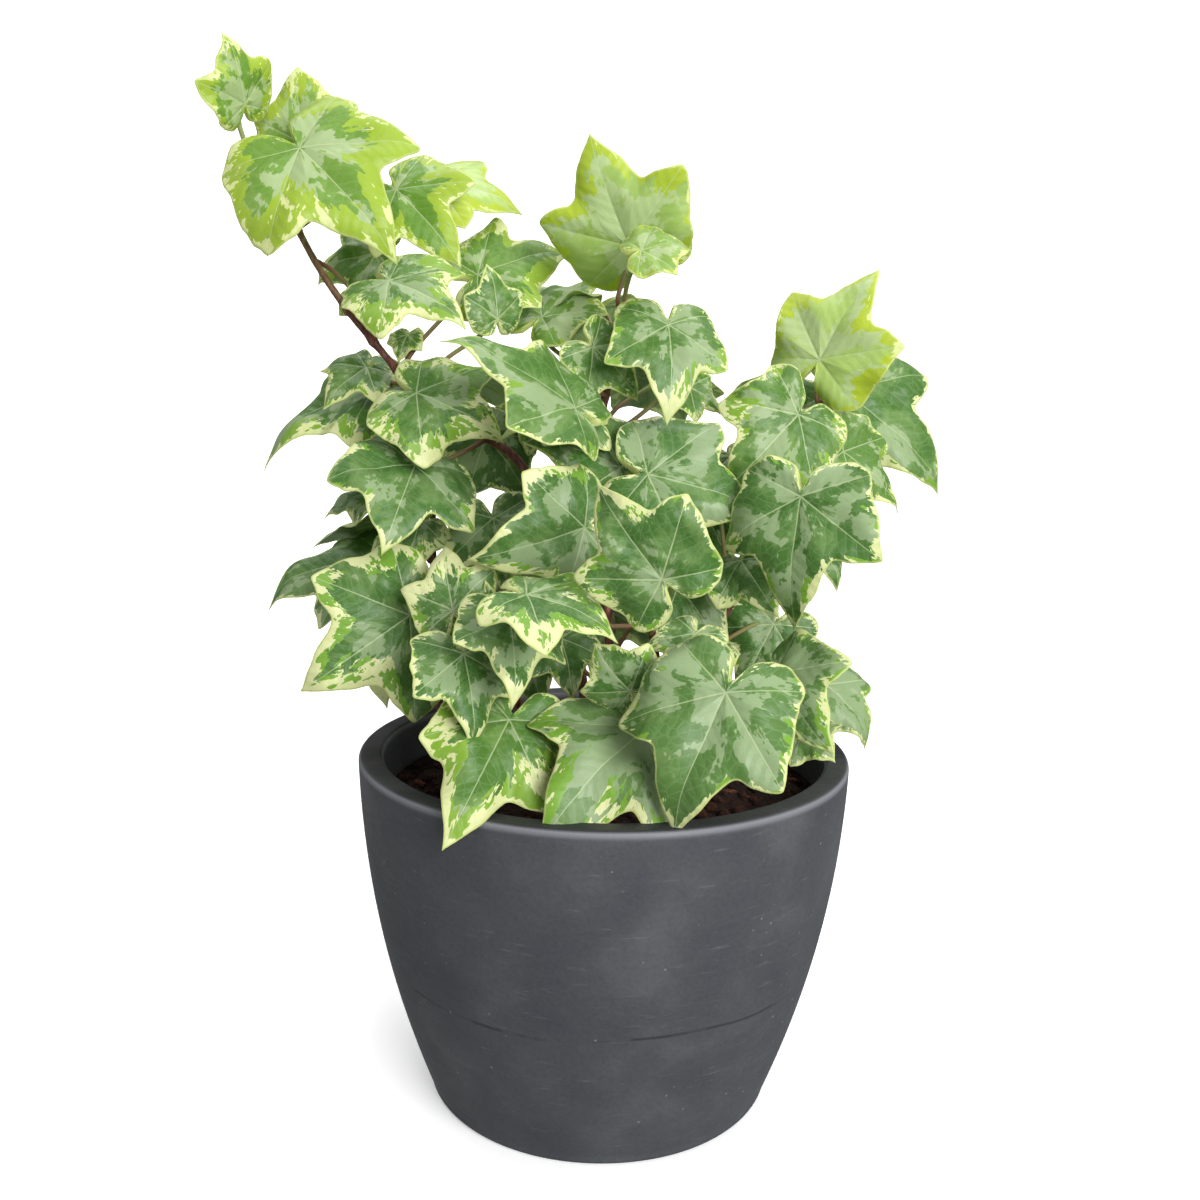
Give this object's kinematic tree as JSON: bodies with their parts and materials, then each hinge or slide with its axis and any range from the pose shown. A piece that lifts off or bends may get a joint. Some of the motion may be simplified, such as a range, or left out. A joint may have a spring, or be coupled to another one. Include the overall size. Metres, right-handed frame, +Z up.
{
  "type": "potted ivy",
  "caption": "Small variegated ivy in a round tapered dark pot: lobed leaves on stalks, woody stems, and soil just below the rim.",
  "frame": {"origin": "middle of the pot's flat underside", "axes": "+Z up along the pot's axis; -Y is the side that most of the leaves face; the longest trailing stem leans to -X"},
  "size_m": [0.2062, 0.1462, 0.29],
  "materials": {
    "pot_stoneware": "matte",
    "potting_soil": "matte",
    "ivy_stem": "satin",
    "ivy_leaf": "satin"
  },
  "bodies": {
    "root": {"leaf_centre_01": "ivy_leaf", "leaf_centre_02": "ivy_leaf", "leaf_centre_03": "ivy_leaf", "leaf_centre_04": "ivy_leaf", "leaf_centre_05": "ivy_leaf", "leaf_centre_06": "ivy_leaf", "leaf_centre_07": "ivy_leaf", "leaf_centre_08": "ivy_leaf", "leaf_centre_09": "ivy_leaf", "leaf_centre_10": "ivy_leaf", "leaf_centre_11": "ivy_leaf", "leaf_centre_12": "ivy_leaf", "leaf_frontLeft_01": "ivy_leaf", "leaf_frontLeft_02": "ivy_leaf", "leaf_frontLeft_03": "ivy_leaf", "leaf_frontLeft_04": "ivy_leaf", "leaf_front_01": "ivy_leaf", "leaf_front_02": "ivy_leaf", "leaf_front_03": "ivy_leaf", "leaf_front_04": "ivy_leaf", "leaf_front_05": "ivy_leaf", "leaf_front_06": "ivy_leaf", "leaf_left_01": "ivy_leaf", "leaf_left_02": "ivy_leaf", "leaf_left_03": "ivy_leaf", "leaf_left_04": "ivy_leaf", "leaf_left_05": "ivy_leaf", "leaf_left_06": "ivy_leaf", "leaf_left_07": "ivy_leaf", "leaf_left_08": "ivy_leaf", "leaf_left_09": "ivy_leaf", "leaf_left_10": "ivy_leaf", "leaf_left_11": "ivy_leaf", "leaf_left_12": "ivy_leaf", "leaf_left_13": "ivy_leaf", "leaf_low_01": "ivy_leaf", "leaf_low_02": "ivy_leaf", "leaf_low_03": "ivy_leaf", "leaf_low_04": "ivy_leaf", "leaf_low_05": "ivy_leaf", "leaf_low_06": "ivy_leaf", "leaf_right_01": "ivy_leaf", "leaf_right_02": "ivy_leaf", "leaf_right_03": "ivy_leaf", "leaf_right_04": "ivy_leaf", "leaf_right_05": "ivy_leaf", "leaf_right_06": "ivy_leaf", "leaf_right_07": "ivy_leaf", "leaf_right_08": "ivy_leaf", "leaf_right_09": "ivy_leaf", "leaf_right_10": "ivy_leaf", "leaf_right_11": "ivy_leaf", "pot": "pot_stoneware", "soil": "potting_soil", "stem_centre": "ivy_stem", "stem_front": "ivy_stem", "stem_frontLeft": "ivy_stem", "stem_left": "ivy_stem", "stem_low": "ivy_stem", "stem_right": "ivy_stem"}
  },
  "joints": []
}
